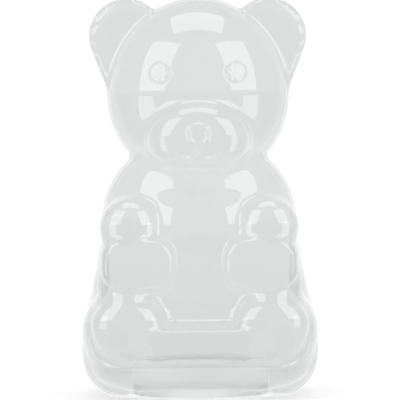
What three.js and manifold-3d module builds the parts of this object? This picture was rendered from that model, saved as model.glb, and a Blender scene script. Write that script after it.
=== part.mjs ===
// Clear bear-shaped candy jar: a front and a back shell bonded along the outline, with a neck ring,
// a seal and a screw lid hidden in the underside. Millimetres, +Z up, the bear faces -Y.
import * as THREE from 'three';
import { mergeVertices } from 'three/addons/utils/BufferGeometryUtils.js';
import Module from 'manifold-3d';

const wasm = await Module();
wasm.setup();

// Overall sizes. The shell seam stands SEAM_Y behind the axis of the lid.
const HEIGHT = 176;
const WIDTH = 106;
const SEAM_Y = 3.7;
const SOLE_Y = -45;
const SEAT_Y = -43;
const BACK_Y = 36;
const WALL = 2;
const GAP = 0.3;
const CELL = 5;

// Step along the seam: the inner half of the back wall reaches into the front shell.
const STEP_REACH = 3;

// Neck ring and the socket that holds it in the underside.
const NECK_RADIUS = 30;
const NECK_WALL = 2.4;
const NECK_BOTTOM = 0.8;
const NECK_TOP = 15.9;
const MOUTH_RADIUS = 23;
const SHOULDER_THICK = 2.5;
const SOCKET_WALL = 1.8;
const SOCKET_TOP = 9;

// Lid, seal and thread. The thread has several starts, so the lid opens in about one turn.
const LID_RADIUS = 25.7;
const LID_WALL = 2.2;
const LID_BOTTOM = 1.6;
const LID_PLATE = 2;
const GRIP_THICK = 5;
const SEAL_THICK = 1.5;
const THREAD_LEAD = 9;
const THREAD_STARTS = 3;
const THREAD_SWEEP = THREE.MathUtils.degToRad(105);
const THREAD_DEPTH = 1.4;
const THREAD_ROOT = 1.4;
const THREAD_CREST = 0.6;
const ROUND_STEPS = 48;

// Heights of the lid stack, worked down from the shoulder inside the neck ring.
const NECK_BORE = NECK_RADIUS - NECK_WALL;
const SHOULDER_BOTTOM = NECK_TOP - SHOULDER_THICK;
const SEAL_TOP = SHOULDER_BOTTOM - GAP;
const SEAL_BOTTOM = SEAL_TOP - SEAL_THICK;
const LID_TOP = SEAL_BOTTOM - GAP;
const SPIGOT_RADIUS = MOUTH_RADIUS - 0.4;
const SPIGOT_TOP = SEAL_TOP - 0.2;
const THREAD_PITCH = THREAD_LEAD / THREAD_STARTS;
const LID_THREAD_START = LID_BOTTOM + 4;
const NECK_THREAD_START = LID_THREAD_START - THREAD_PITCH / 2;

// Lumps of the bear. Each is drawn once on the +X side and mirrored. Depths are measured from the seam.
const head = { at: [0, 0, 132.2], half: [40.2, 33, HEIGHT - 132.2], low: 38.8, power: 2.2 };
const muzzle = { at: [0, -27, 114.8], half: [23, 15, 16.5], power: 2.7 };
const ear = { from: [31.3, 0, 158.9], to: [25.8, 0, 137.5], radii: [16.7, 14], half: 8.5, power: 3.5 };
const yoke = { at: [0, 0, 80], half: [42.4, 30.8, 36], power: 2.3 };
const belly = { at: [0, -1, 72], half: [42, 36.5, 30], low: 60, power: 2, corner: 3 };
const hips = { at: [0, 4.7, 33], half: [45, 31.2, 38], low: 33, power: 2.3 };
const armDome = { at: [30, -31, 75.4], half: [13.2, 9.5, 13.2], power: 2 };
const paw = { at: [27.8, -31, 61], half: [14.4, 18, 9.9], round: 8.5 };
const haunch = { from: [31.6, 2, 20.3], to: [30.2, 2, 50], radii: [20, 15.8] };
const rump = { from: [31.6, 15, 19], to: [31.6, -12, 19], radii: [20.3, 20.3] };
const thigh = { at: [31.4, -8, 29.5], half: [20.4, 31, 20.4], power: 4 };
const foot = { at: [31.2, -36.5, 33.8], half: [15.6, 8.6, 12], low: 17, power: 2.2 };
const shin = { from: [31, -21.3, 62], to: [31.2, -28, 43], radii: [13.6, 13.6] };
const seat = { at: [0, (SEAT_Y + BACK_Y) / 2, 20.2], half: [47.6, (BACK_Y - SEAT_Y) / 2, 18.7], round: 13 };
const shelf = { at: [0, -30, 25], half: [33, 14.5, 8.2], round: 4 };
const seatArch = { centre: 140.4, radius: 139 };
const lapEdge = { height: 31, rise: 0.6 };
const ARM_ROOT_Y = 8;
const PAW_FACE_Y = -42;
const FLAT_CUT = 0.05;

// Face relief on the front shell.
const EYE = { x: 16.6, z: 143.4, radius: 5.2, height: 1.1 };
const NOSE = { z: 117.8, width: 10.4, drop: 9.4, height: 1.2 };

// Materials.
function finish(name, color, roughness) {
  return new THREE.MeshStandardMaterial({ name, color, roughness });
}
const clear = finish('clear_plastic', 0xdde2e4, 0.08);
const milky = finish('milky_plastic', 0xe6e9e9, 0.25);
const silicone = finish('seal_silicone', 0xe9e9e4, 0.6);

// Blends of two signed distances over a width k.
function softMin(a, b, k) {
  const h = Math.max(k - Math.abs(a - b), 0) / k;
  return Math.min(a, b) - (h * h * k) / 4;
}

function softMax(a, b, k) {
  return -softMin(-a, -b, k);
}

// Distance for a shape that is flat = 1 at its outline and deep = 1 at its front and back.
function pillow(flat, deep, flatSlope, deepSlope, power) {
  const n = Math.pow(Math.pow(flat, power) + Math.pow(deep, power), 1 / power) + 1e-9;
  const alongFlat = Math.pow(flat / n, power - 1) * flatSlope;
  const alongDeep = Math.pow(deep / n, power - 1) * deepSlope;
  return (n - 1) / Math.hypot(alongFlat, alongDeep, 1e-6);
}

// Cushion whose outline is an oval, or squarer where it has a corner power.
function lump(x, y, z, s) {
  const corner = s.corner ?? 2;
  const half = z < s.at[2] ? s.low ?? s.half[2] : s.half[2];
  const wide = Math.abs(x - s.at[0]) / s.half[0] + 1e-9;
  const tall = Math.abs(z - s.at[2]) / half + 1e-9;
  const flat = Math.pow(Math.pow(wide, corner) + Math.pow(tall, corner), 1 / corner);
  const alongWide = Math.pow(wide / flat, corner - 1) / s.half[0];
  const alongTall = Math.pow(tall / flat, corner - 1) / half;
  const deep = Math.abs(y - s.at[1]) / s.half[1];
  return pillow(flat, deep, Math.hypot(alongWide, alongTall), 1 / s.half[1], s.power);
}

// Hull of two balls.
function roundCone(x, y, z, s) {
  const [ax, ay, az] = s.from;
  const [bx, by, bz] = [s.to[0] - ax, s.to[1] - ay, s.to[2] - az];
  const [px, py, pz] = [x - ax, y - ay, z - az];
  const length2 = bx * bx + by * by + bz * bz;
  const shrink = s.radii[0] - s.radii[1];
  const along = px * bx + py * by + pz * bz;
  const beyond = along - length2;
  const [sx, sy, sz] = [px * length2 - along * bx, py * length2 - along * by, pz * length2 - along * bz];
  const side2 = sx * sx + sy * sy + sz * sz;
  const slant2 = length2 - shrink * shrink;
  const edge = Math.sign(shrink) * shrink * shrink * side2;
  if (Math.sign(beyond) * slant2 * beyond * beyond * length2 > edge) {
    return Math.sqrt(side2 + beyond * beyond * length2) / length2 - s.radii[1];
  }
  if (Math.sign(along) * slant2 * along * along * length2 < edge) {
    return Math.sqrt(side2 + along * along * length2) / length2 - s.radii[0];
  }
  return (Math.sqrt((side2 * slant2) / length2) + along * shrink) / length2 - s.radii[0];
}

function roundBox(x, y, z, s) {
  const q = [x, y, z].map((v, i) => Math.abs(v - s.at[i]) - s.half[i] + s.round);
  const outside = Math.hypot(...q.map((v) => Math.max(v, 0)));
  return outside + Math.min(Math.max(...q), 0) - s.round;
}

function earLobe(x, y, z) {
  const mean = (ear.radii[0] + ear.radii[1]) / 2;
  const flat = Math.max(1 + roundCone(x, 0, z, ear) / mean, 0);
  return pillow(flat, Math.abs(y) / ear.half, 1 / mean, 1 / ear.half, ear.power);
}

// Short arm: a domed stub over a flat paw.
function armLobe(x, y, z) {
  const round = Math.hypot(x - armDome.at[0], z - armDome.at[2]) - armDome.half[0];
  const stub = softMax(Math.max(round, armDome.at[1] - y), y - ARM_ROOT_Y, 6);
  const pad = softMax(roundBox(x, y, z, paw), PAW_FACE_Y - y, 4);
  return softMin(Math.min(stub, lump(x, y, z, armDome)), pad, 4);
}

// Seat with a sloped lap and a shallow arch under it, and the soles with the shelf between them.
function seatLobes(x, y, z) {
  const lap = z - lapEdge.height - lapEdge.rise * (y - SOLE_Y);
  const arch = Math.hypot(x, z - seatArch.centre) - seatArch.radius;
  const base = softMax(softMax(roundBox(x, y, z, seat), lap, 4), arch, 3);
  const front = softMin(softMax(roundBox(x, y, z, shelf), lap, 4), lump(x, y, z, foot), 2);
  return { base, front };
}

// Signed distance to the skin of the bear, negative inside.
function bearSkin(xSigned, y, z) {
  const x = Math.abs(xSigned);
  let face = softMin(lump(x, y, z, head), lump(x, y, z, muzzle), 4);
  face = softMin(face, earLobe(x, y, z), 3);
  const { base, front } = seatLobes(x, y, z);
  let lower = softMin(roundCone(x, y, z, haunch), roundCone(x, y, z, rump), 3);
  lower = softMin(lower, base, 3);
  lower = softMin(lower, lump(x, y, z, thigh), 3);
  lower = softMin(lower, roundCone(x, y, z, shin), 5);
  lower = softMin(lower, front, 4);
  let body = softMin(lump(x, y, z, belly), lump(x, y, z, yoke), 3);
  body = softMin(body, lump(x, y, z, hips), 8);
  body = softMin(body, lower, 8);
  body = softMin(body, armLobe(x, y, z), 4);
  return softMax(softMin(body, face, 3.5), -z - FLAT_CUT, 1.5);
}

function skinSlope(p) {
  const h = 0.05;
  const dx = bearSkin(p.x + h, p.y, p.z) - bearSkin(p.x - h, p.y, p.z);
  const dy = bearSkin(p.x, p.y + h, p.z) - bearSkin(p.x, p.y - h, p.z);
  const dz = bearSkin(p.x, p.y, p.z + h) - bearSkin(p.x, p.y, p.z - h);
  return new THREE.Vector3(dx, dy, dz).divideScalar(2 * h);
}

// Moves a point straight onto the surface that lies a given depth under the skin.
function settle(p, depth) {
  for (let step = 0; step < 6; step += 1) {
    const slope = skinSlope(p);
    p.addScaledVector(slope, -(bearSkin(p.x, p.y, p.z) + depth) / Math.max(slope.lengthSq(), 0.1));
  }
  return p;
}

// Closed mesh of the skin on a grid that is even about the middle plane and the seam: one point in every
// cell that the skin crosses and one face across every crossed edge.
function meshSkin() {
  const margin = 8;
  const cellsAcross = 2 * Math.ceil((WIDTH / 2 + margin) / CELL);
  const cellsDeep = 2 * Math.ceil((margin - SOLE_Y) / CELL);
  const cellsUp = Math.ceil((HEIGHT + 2 * margin) / CELL);
  const count = [cellsAcross, cellsDeep, cellsUp];
  const low = [(-cellsAcross * CELL) / 2, (-cellsDeep * CELL) / 2, -margin];
  const corner = (i, j, k) => [low[0] + i * CELL, low[1] + j * CELL, low[2] + k * CELL];
  const field = new Map();
  const key = (i, j, k) => (i * 1000 + j) * 1000 + k;
  const value = (i, j, k) => {
    const id = key(i, j, k);
    if (!field.has(id)) {
      field.set(id, bearSkin(...corner(i, j, k)));
    }
    return field.get(id);
  };
  const points = [];
  const cells = new Map();
  const pointIn = (i, j, k) => {
    const id = key(i, j, k);
    if (!cells.has(id)) {
      const sum = new THREE.Vector3();
      let crossings = 0;
      for (let axis = 0; axis < 3; axis += 1) {
        for (let turn = 0; turn < 4; turn += 1) {
          const a = [i, j, k];
          a[(axis + 1) % 3] += turn & 1;
          a[(axis + 2) % 3] += turn >> 1;
          const b = a.slice();
          b[axis] += 1;
          const [va, vb] = [value(...a), value(...b)];
          if (va < 0 !== vb < 0) {
            const from = new THREE.Vector3(...corner(...a));
            sum.add(from.lerp(new THREE.Vector3(...corner(...b)), va / (va - vb)));
            crossings += 1;
          }
        }
      }
      cells.set(id, points.length);
      points.push(settle(sum.divideScalar(crossings), 0));
    }
    return cells.get(id);
  };
  const faces = [];
  for (let i = 1; i < count[0]; i += 1) {
    for (let j = 1; j < count[1]; j += 1) {
      for (let k = 1; k < count[2]; k += 1) {
        for (let axis = 0; axis < 3; axis += 1) {
          const b = [i, j, k];
          b[axis] += 1;
          const inside = value(i, j, k) < 0;
          if (inside === value(...b) < 0) {
            continue;
          }
          const around = [[0, 0], [1, 0], [1, 1], [0, 1]].map(([u, v]) => {
            const c = [i, j, k];
            c[(axis + 1) % 3] -= u;
            c[(axis + 2) % 3] -= v;
            return pointIn(...c);
          });
          const [p, q, r, s] = inside ? around : around.reverse();
          faces.push([p, q, r], [p, r, s]);
        }
      }
    }
  }
  return { points, faces };
}

// The same mesh moved to a depth under the skin, as a solid.
function skinSolid(skin, depth) {
  const points = skin.points.map((p) => settle(p.clone(), depth));
  return solidOf(points.flatMap((p) => [p.x, p.y, p.z]), skin.faces.flat());
}

function solidOf(positions, triangles) {
  const kept = [];
  for (let t = 0; t < triangles.length; t += 3) {
    const [a, b, c] = [triangles[t], triangles[t + 1], triangles[t + 2]];
    if (a !== b && b !== c && c !== a) {
      kept.push(a, b, c);
    }
  }
  const mesh = new wasm.Mesh({
    numProp: 3,
    vertProperties: new Float32Array(positions),
    triVerts: new Uint32Array(kept),
  });
  return new wasm.Manifold(mesh);
}

function solid(geometry) {
  const bare = geometry.clone();
  bare.deleteAttribute('normal');
  bare.deleteAttribute('uv');
  const merged = mergeVertices(bare, 1e-4);
  return solidOf(Array.from(merged.attributes.position.array), Array.from(merged.index.array));
}

function block(x0, x1, y0, y1, z0, z1) {
  const geometry = new THREE.BoxGeometry(x1 - x0, y1 - y0, z1 - z0);
  return solid(geometry.translate((x0 + x1) / 2, (y0 + y1) / 2, (z0 + z1) / 2));
}

// Solid turned about the axis of the lid from a profile of [radius, height] points.
function turned(profile) {
  const closed = [...profile, profile[0]].map(([r, z]) => new THREE.Vector2(r, z));
  return solid(new THREE.LatheGeometry(closed, ROUND_STEPS).rotateX(Math.PI / 2));
}

function tube(inner, outer, bottom, top) {
  return turned([[inner, bottom], [outer, bottom], [outer, top], [inner, top]]);
}

// One ridge of the thread: a trapezoid swept up a helix from a root radius to a crest radius.
function threadRidge(root, crest, startAngle, startHeight) {
  const steps = 18;
  const section = [
    [root, -THREAD_ROOT / 2], [crest, -THREAD_CREST / 2],
    [crest, THREAD_CREST / 2], [root, THREAD_ROOT / 2],
  ];
  const positions = [];
  const triangles = [];
  for (let step = 0; step <= steps; step += 1) {
    const turn = (THREAD_SWEEP * step) / steps;
    const height = startHeight + (THREAD_LEAD * turn) / (2 * Math.PI);
    for (const [r, dz] of section) {
      positions.push(r * Math.cos(startAngle + turn), r * Math.sin(startAngle + turn), height + dz);
    }
  }
  const outward = crest > root;
  const face = (a, b, c) => triangles.push(...(outward ? [a, b, c] : [a, c, b]));
  for (let step = 0; step < steps; step += 1) {
    for (let side = 0; side < 4; side += 1) {
      const [a, b] = [step * 4 + side, step * 4 + ((side + 1) % 4)];
      face(a, a + 4, b);
      face(b, a + 4, b + 4);
    }
  }
  const last = steps * 4;
  face(0, 1, 2);
  face(0, 2, 3);
  face(last, last + 2, last + 1);
  face(last, last + 3, last + 2);
  return solidOf(positions, triangles);
}

function withThread(body, root, crest, startHeight) {
  let threaded = body;
  for (let start = 0; start < THREAD_STARTS; start += 1) {
    const angle = (2 * Math.PI * start) / THREAD_STARTS;
    threaded = threaded.add(threadRidge(root, crest, angle, startHeight));
  }
  return threaded;
}

// Point on the front of the bear for a place seen from the front.
function frontPoint(x, z) {
  let y = SOLE_Y - 5;
  for (let step = 0; step < 60; step += 1) {
    y += bearSkin(x, y, z) * 0.8;
  }
  return new THREE.Vector3(x, y, z);
}

// Places a solid whose +Z looks out of the face at a spot on the front.
function onFace(geometry, x, z) {
  const spot = frontPoint(x, z);
  const outward = skinSlope(spot).normalize();
  const turn = new THREE.Quaternion().setFromUnitVectors(new THREE.Vector3(0, 0, 1), outward);
  return solid(geometry.applyQuaternion(turn).translate(spot.x, spot.y, spot.z));
}

function eyeRelief(side) {
  const { radius, height } = EYE;
  const profile = [[0, -1], [radius, -1], [radius, 0.5], [radius * 0.8, height], [0, height * 1.2]];
  const points = profile.map(([r, z]) => new THREE.Vector2(r, z));
  return onFace(new THREE.LatheGeometry(points, 24).rotateX(Math.PI / 2), side * EYE.x, EYE.z);
}

function noseRelief() {
  const half = NOSE.width / 2;
  const shape = new THREE.Shape();
  shape.moveTo(0, -NOSE.drop / 2);
  shape.bezierCurveTo(-half * 0.5, -NOSE.drop / 2, -half * 1.15, NOSE.drop * 0.15, -half, NOSE.drop * 0.3);
  shape.bezierCurveTo(-half * 0.8, NOSE.drop * 0.55, half * 0.8, NOSE.drop * 0.55, half, NOSE.drop * 0.3);
  shape.bezierCurveTo(half * 1.15, NOSE.drop * 0.15, half * 0.5, -NOSE.drop / 2, 0, -NOSE.drop / 2);
  const options = { depth: NOSE.height + 1, bevelEnabled: false, curveSegments: 6 };
  const geometry = new THREE.ExtrudeGeometry(shape, options);
  return onFace(geometry.translate(0, 0, -1), 0, NOSE.z);
}

// The two shells share one hollow skin with a round socket in the underside.
const skin = meshSkin();
const outer = skinSolid(skin, 0);
const inner = skinSolid(skin, WALL);
const stepOuter = skinSolid(skin, (WALL - GAP) / 2);
const stepInner = skinSolid(skin, (WALL + GAP) / 2);
const holeRadius = NECK_RADIUS + GAP;
const toSeam = (body) => body.translate([0, -SEAM_Y, 0]);
const floorCut = block(-90, 90, -90, 90, -30, 0);
const hole = toSeam(turned([[0, -5], [holeRadius, -5], [holeRadius, SOCKET_TOP + 5], [0, SOCKET_TOP + 5]]));
const socket = toSeam(tube(holeRadius - 1, holeRadius + SOCKET_WALL, -5, SOCKET_TOP)).intersect(outer);
const hollow = outer.subtract(inner).add(socket).subtract(hole).subtract(floorCut);
const frontHalf = block(-90, 90, -90, -GAP / 2, -20, HEIGHT + 20);
const backHalf = block(-90, 90, GAP / 2, 90, -20, HEIGHT + 20);

function frontShell() {
  const stepRoom = stepOuter.intersect(block(-90, 90, -STEP_REACH - GAP, 1, -20, HEIGHT + 20));
  let shell = hollow.intersect(frontHalf).subtract(stepRoom);
  for (const side of [-1, 1]) {
    shell = shell.add(eyeRelief(side));
  }
  return shell.add(noseRelief());
}

function backShell() {
  const step = stepInner.intersect(block(-90, 90, -STEP_REACH, 1, -20, HEIGHT + 20));
  return hollow.intersect(backHalf.add(step));
}

function neckRing() {
  const body = turned([
    [NECK_BORE, NECK_BOTTOM], [NECK_RADIUS, NECK_BOTTOM], [NECK_RADIUS, NECK_TOP],
    [MOUTH_RADIUS, NECK_TOP], [MOUTH_RADIUS, SHOULDER_BOTTOM], [NECK_BORE, SHOULDER_BOTTOM],
  ]);
  return withThread(body, NECK_BORE + 0.1, NECK_BORE - THREAD_DEPTH, NECK_THREAD_START);
}

function screwLid() {
  const bore = LID_RADIUS - LID_WALL;
  const plateBottom = LID_TOP - LID_PLATE;
  const cup = turned([
    [0, plateBottom], [bore, plateBottom], [bore, LID_BOTTOM], [LID_RADIUS, LID_BOTTOM],
    [LID_RADIUS, LID_TOP], [SPIGOT_RADIUS, LID_TOP], [SPIGOT_RADIUS, SPIGOT_TOP], [0, SPIGOT_TOP],
  ]);
  const reach = bore + 0.5;
  const grip = block(-reach, reach, -GRIP_THICK / 2, GRIP_THICK / 2, LID_BOTTOM + 1, plateBottom + 0.5);
  return withThread(cup.add(grip), LID_RADIUS - 0.1, LID_RADIUS + THREAD_DEPTH, LID_THREAD_START);
}

function lidSeal() {
  return tube(SPIGOT_RADIUS + GAP, LID_RADIUS - 0.1, SEAL_BOTTOM, SEAL_TOP);
}

// A named mesh of a finished solid, set back by a distance along Y.
function named(name, body, material, setBack = 0) {
  const { numProp, vertProperties, triVerts } = body.getMesh();
  const positions = [];
  for (let v = 0; v < vertProperties.length; v += numProp) {
    positions.push(vertProperties[v], vertProperties[v + 1] + setBack, vertProperties[v + 2]);
  }
  const geometry = new THREE.BufferGeometry();
  geometry.setAttribute('position', new THREE.Float32BufferAttribute(positions, 3));
  geometry.setIndex(Array.from(triVerts));
  geometry.computeVertexNormals();
  const mesh = new THREE.Mesh(geometry, material);
  mesh.name = name;
  return mesh;
}

const jar = new THREE.Group();
jar.name = 'bear_candy_jar';
jar.add(
  named('front_shell', frontShell(), clear, SEAM_Y),
  named('back_shell', backShell(), clear, SEAM_Y),
  named('neck_ring', neckRing(), milky),
  named('lid_seal', lidSeal(), silicone),
  named('screw_lid', screwLid(), milky),
);

export default jar;
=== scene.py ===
"""Clear bear-shaped candy jar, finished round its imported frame.

Two bonded shells make a hollow sitting bear. A mouth ring, a seal and a screw lid close it from below.
"""

import math
from collections import namedtuple
from functools import partial

import bpy
import numpy as np
from bpy.props import FloatProperty, FloatVectorProperty, IntProperty, PointerProperty
from mathutils import Matrix, Vector


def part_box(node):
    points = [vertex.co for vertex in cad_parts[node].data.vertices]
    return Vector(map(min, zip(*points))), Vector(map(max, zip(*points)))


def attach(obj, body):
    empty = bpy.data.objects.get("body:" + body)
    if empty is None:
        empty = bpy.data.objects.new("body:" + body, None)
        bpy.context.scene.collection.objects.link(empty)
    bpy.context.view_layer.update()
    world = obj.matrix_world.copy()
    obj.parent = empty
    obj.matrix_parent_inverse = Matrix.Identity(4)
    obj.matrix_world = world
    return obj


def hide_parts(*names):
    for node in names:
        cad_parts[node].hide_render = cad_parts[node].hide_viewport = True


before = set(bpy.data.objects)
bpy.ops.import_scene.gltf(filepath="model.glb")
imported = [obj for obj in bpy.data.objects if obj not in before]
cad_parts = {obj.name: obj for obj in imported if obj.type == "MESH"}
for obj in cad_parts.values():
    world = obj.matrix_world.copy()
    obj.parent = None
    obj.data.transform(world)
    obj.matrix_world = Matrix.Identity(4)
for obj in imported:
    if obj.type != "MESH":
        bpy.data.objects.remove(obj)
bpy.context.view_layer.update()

bl_info = {
    "name": "Clear Bear Jar",
    "version": (1, 0, 0),
    "blender": (4, 5, 0),
    "location": "View3D > Sidebar > Bear Jar",
    "description": "Models the shells, the closure and the stage of a clear bear-shaped candy jar",
    "category": "Mesh",
}

MM = 0.001
CLEAN_WHITE = (1.02, 1.02, 1.02, 1.0)

# Added to lengths, so that none of them is zero.
TINY = 1e-7

# Places read from the frame.
FRONT_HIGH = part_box("front_shell")[1]
RING_LOW, RING_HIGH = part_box("neck_ring")
SEAL_LOW, SEAL_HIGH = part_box("lid_seal")
LID_LOW, LID_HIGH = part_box("screw_lid")

# Shapes of the moulded skin, in millimetres. Depth is measured from the seam and height from the table.
# Each shape is drawn once on the +X side and mirrored.
Lump = namedtuple("Lump", "centre half low power corner", defaults=(None, 2.0, 2.0))
Limb = namedtuple("Limb", "start end start_radius end_radius")
Block = namedtuple("Block", "centre half rounding flare", defaults=(0.0,))

HEAD = Lump((0, 0, 132.2), (40.2, 33.0, 43.8), low=38.8, power=2.2)
MUZZLE = Lump((0, -12.0, 114.0), (23.5, 30.0, 17.7), low=18.9, power=3.6)
EAR = Limb((31.3, 0, 158.9), (25.8, 0, 137.5), 16.7, 14.0)
EAR_HALF_DEPTH, EAR_POWER = 8.5, 8.0
YOKE = Lump((0, 0, 80.0), (42.4, 30.8, 36.0), power=2.3)
BELLY = Lump((0, -1.0, 72.0), (42.0, 36.5, 30.0), low=60.0, corner=3.0)
HIPS = Lump((0, 4.7, 33.0), (45.0, 31.2, 38.0), low=33.0, power=2.3)
ARM_DOME = Lump((30.0, -31.0, 75.4), (13.2, 9.5, 13.2))
ARM_ROOT_Y, ARM_BLANK_Y = 8.0, -27.0
PAW = Block((26.6, -37.0, 59.8), (16.0, 12.0, 11.4), 8.5, flare=0.18)
PAW_FACE_Y = -42.0
HAUNCH = Limb((31.6, 2.0, 20.3), (30.2, 2.0, 50.0), 20.0, 15.8)
RUMP = Limb((31.6, 15.0, 19.0), (31.6, -12.0, 19.0), 20.3, 20.3)
THIGH = Lump((31.4, -8.0, 29.5), (20.4, 30.0, 20.4), power=4.0)
FOOT = Lump((31.2, -36.5, 33.8), (15.6, 8.6, 12.0), low=17.0, power=2.2)
SHIN = Limb((31.0, -21.3, 62.0), (31.2, -28.0, 43.0), 13.6, 13.6)
SEAT = Block((0, -1.0, 19.6), (47.2, 38.0, 18.7), 15.0)
SHELF = Block((0, -30.0, 25.0), (33.0, 14.5, 8.2), 3.0)
LAP_Y, LAP_Z, LAP_RISE = -45.0, 30.5, 0.6
ARCH_CENTRE_Z, ARCH_RADIUS = 140.4, 139.0

# Widths over which neighbouring shapes run into each other, in millimetres.
BLEND = 3.0
CHIN_BLEND, NECK_BLEND = 3.0, 3.5
EAR_BLEND, SHELF_BLEND = 2.0, 2.0
ARM_BLEND, FOOT_BLEND, LAP_BLEND = 2.5, 2.5, 2.5
ARM_ROOT_BLEND, HIP_BLEND = 6.0, 8.0
TABLE_ROUND = 0.8

# Relief of the face and the seat, in millimetres as seen from the front, on what lies before a depth.
RELIEF_Y = -15.0
EYE_X, EYE_Z, EYE_EDGE = 16.4, 142.6, 0.4
EYE_RING_DEPTH, EYE_RING_OUT, EYE_RING_WIDTH = 0.4, 0.35, 0.7
EYE_GRAIN, PEBBLE_RISE = 3.2, 0.025
NOSE_Z, NOSE_RADIUS, NOSE_CORNER = 115.6, 4.2, 0.06
NOSE_RIM, NOSE_DISH = 1.9, 0.25
SMILE_Z, SMILE_HALF, SMILE_SAG = 107.3, 9.3, 1.8
SMILE_WIDTH, SMILE_FADE = 1.5, 1.2
LINE_TOP, LINE_FOOT, LINE_FADE = NOSE_Z - 4.4, SMILE_Z - 0.6, 0.8
SEAT_LINE_X, SEAT_LINE_Z, SEAT_LINE_TURN = 47.2, 14.8, 12.0
SEAT_LINE_TOP, SEAT_LINE_FADE, SEAT_LINE_WIDTH = 30.0, 6.0, 1.0

# Fineness of the meshes. The reach of the finer cells on the face is in millimetres.
FINE_MARGINS = (3.0, 1.2)
NOSE_REACH = 5.5
SMILE_MIDDLE_Z, SMILE_REACH_X, SMILE_REACH_Z = SMILE_Z - 1.0, 11.5, 3.4
SLOPE_STEP, LEAST_STEEPNESS = 0.05, 0.1
SETTLE_STEPS = 4
ROUND_STEPS, THREAD_STEPS = 96, 36
MERGE_REACH = 0.01 * MM

# Share of a block's rounding that its blank gets, before the blank settles on the skin.
BLANK_ROUNDING = 0.98

# Small fits of the closure, in metres.
SPIGOT_PLAY = 0.4 * MM
THREAD_SINK = 0.1 * MM
GRIP_SINK, GRIP_FOOT = 0.5 * MM, 1.0 * MM

# Stage, in metres and degrees, with the camera's sensor in millimetres.
Softbox = namedtuple("Softbox", "name azimuth elevation distance width height")
KEY_BOX = Softbox("key_softbox", 46, 26, 0.80, 0.52, 0.62)
LOW_BOX = Softbox("low_softbox", 53, -12.5, 0.26, 0.10, 0.135)
TOP_BOX = Softbox("top_softbox", 0, 80, 0.60, 0.50, 0.36)
LAMP_AIM_Z = 0.125
GREY_UNTIL, WHITE_FROM = 0.30, 0.85
FLOOR_SIZE, FLOOR_DROP = 6, 0.3 * MM
FLOOR_TONE = (0.87, 0.87, 0.87, 1)
SHADOW_UNTIL, PLAIN_FROM = 0.08, 0.22
THROUGH_NEAR, THROUGH_FAR = 0.2, 2.6
MIRROR_SHIFT = (0, 0.08, 0)
SENSOR_WIDTH, FAR_CLIP = 36, 20

# The fine smears in the plastic, against its broad clouds.
SMEAR_FINENESS = 3.1


# Sizes and colours that a user may change.

LengthProperty = partial(FloatProperty, unit="LENGTH")
AngleProperty = partial(FloatProperty, unit="ROTATION")
TintProperty = partial(FloatVectorProperty, subtype="COLOR", size=4, min=0.0, max=1.0)


class ShellSizes(bpy.types.PropertyGroup):
    """Sizes of the two moulded shells."""

    wall: LengthProperty(name="Wall", description="Thickness of the moulded wall", default=0.002)
    seam_gap: LengthProperty(name="Seam gap", description="Gap between the two shells", default=0.0003)
    cell: LengthProperty(name="Cell", description="Size of the first mesh cells on the skin", default=0.0025)
    socket_wall: LengthProperty(
        name="Socket wall", description="Wall of the socket round the mouth ring", default=0.0018)
    socket_top: LengthProperty(name="Socket top", description="Height of the socket's rim", default=0.005)
    eye_radius: LengthProperty(name="Eye radius", description="Radius of a raised eye", default=0.0042)
    eye_rise: LengthProperty(name="Eye rise", description="Height of a raised eye", default=0.0007)
    nose_rise: LengthProperty(name="Nose rise", description="Height of the raised nose", default=0.00095)
    smile_rise: LengthProperty(name="Smile rise", description="Height of the raised smile", default=0.0017)
    seat_line_rise: LengthProperty(
        name="Seat line", description="Height of the fine line round the seat", default=0.0004)


class ClosureSizes(bpy.types.PropertyGroup):
    """Sizes of the mouth ring, the seal and the lid."""

    fit: LengthProperty(name="Fit", description="Gap between pieces that touch", default=0.0003)
    ring_wall: LengthProperty(name="Ring wall", description="Wall of the mouth ring", default=0.0024)
    mouth_radius: LengthProperty(name="Mouth radius", description="Radius of the open mouth", default=0.023)
    shoulder: LengthProperty(
        name="Shoulder", description="Thickness of the ring's top flange", default=0.0025)
    lid_wall: LengthProperty(name="Lid wall", description="Wall of the lid's skirt", default=0.0022)
    lid_plate: LengthProperty(name="Lid plate", description="Thickness of the lid's plate", default=0.002)
    grip_thick: LengthProperty(name="Grip", description="Thickness of the finger grip", default=0.005)
    edge_round: LengthProperty(
        name="Edge round", description="Rounding of the moulded edges", default=0.0004)
    thread_starts: IntProperty(
        name="Thread starts", description="Number of thread ridges", default=3, min=1)
    thread_lead: LengthProperty(
        name="Thread lead", description="Rise of the thread in one turn", default=0.009)
    thread_depth: LengthProperty(
        name="Thread depth", description="Height of a thread ridge", default=0.0014)
    thread_root: LengthProperty(
        name="Thread root", description="Width of a thread ridge at its foot", default=0.0014)
    thread_crest: LengthProperty(
        name="Thread crest", description="Width of a thread ridge at its top", default=0.0006)
    thread_sweep: AngleProperty(
        name="Thread sweep", description="Angle that one ridge covers", default=math.radians(105))
    thread_height: LengthProperty(
        name="Thread height", description="Height of the lid's thread over its rim", default=0.004)


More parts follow.
